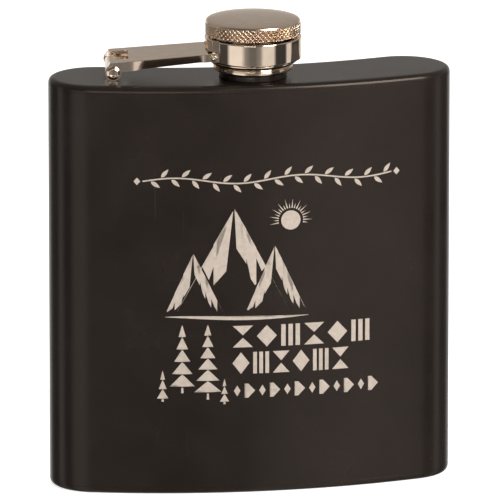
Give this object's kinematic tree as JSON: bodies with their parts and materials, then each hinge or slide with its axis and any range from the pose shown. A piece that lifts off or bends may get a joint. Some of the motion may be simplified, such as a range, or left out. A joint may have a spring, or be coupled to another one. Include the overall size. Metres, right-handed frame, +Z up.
{
  "type": "hip flask",
  "caption": "Bowed flat pocket flask with a knurled screw cap held by a hinged arm.",
  "frame": {"origin": "middle of the box round the flask, on the surface it stands on", "axes": "+X along the flask's width, with the arm's hinge at -X; +Y to the hollow back, so the bowed front faces -Y; +Z up through the neck"},
  "size_m": [0.095, 0.0275, 0.1121],
  "materials": {
    "coating": "satin black powder coat, slightly warm",
    "polished_steel": "polished, warm nickel tone, finely brushed on flat faces",
    "plain_steel": "turned",
    "seal": "matte translucent white"
  },
  "bodies": {
    "flask": {"body_wall": "coating", "shoulder_pan": "coating", "base_pan": "coating", "neck": "plain_steel", "hinge_bracket": "polished_steel", "hinge_pin": "polished_steel"},
    "arm": {"arm": "polished_steel"},
    "ring": {"swivel_ring": "polished_steel", "ring_rivet_front": "polished_steel", "ring_rivet_back": "polished_steel"},
    "cap": {"cap_shell": "polished_steel", "cap_core": "plain_steel", "cap_gasket": "seal"}
  },
  "joints": [
    {"name": "arm_swing", "type": "hinge", "parent": "flask", "child": "arm", "pos_m": [-0.03255, 0.00164, 0.10065], "axis": [-0.1236, -0.9923, 0], "range_deg": [0, 160]},
    {"name": "ring_pivot", "type": "hinge", "parent": "arm", "child": "ring", "pos_m": [-0.00923, -0.00127, 0.1039], "axis": [-0.1236, -0.9923, 0], "range_deg": [0, 20]},
    {"name": "cap_turn", "type": "hinge", "parent": "ring", "child": "cap", "pos_m": [0, -0.00241, 0.102], "axis": [0, 0, 1], "continuous": true}
  ],
  "couplings": [
    {"joint": "ring_pivot", "follows": "arm_swing", "ratio": 0.125}
  ]
}
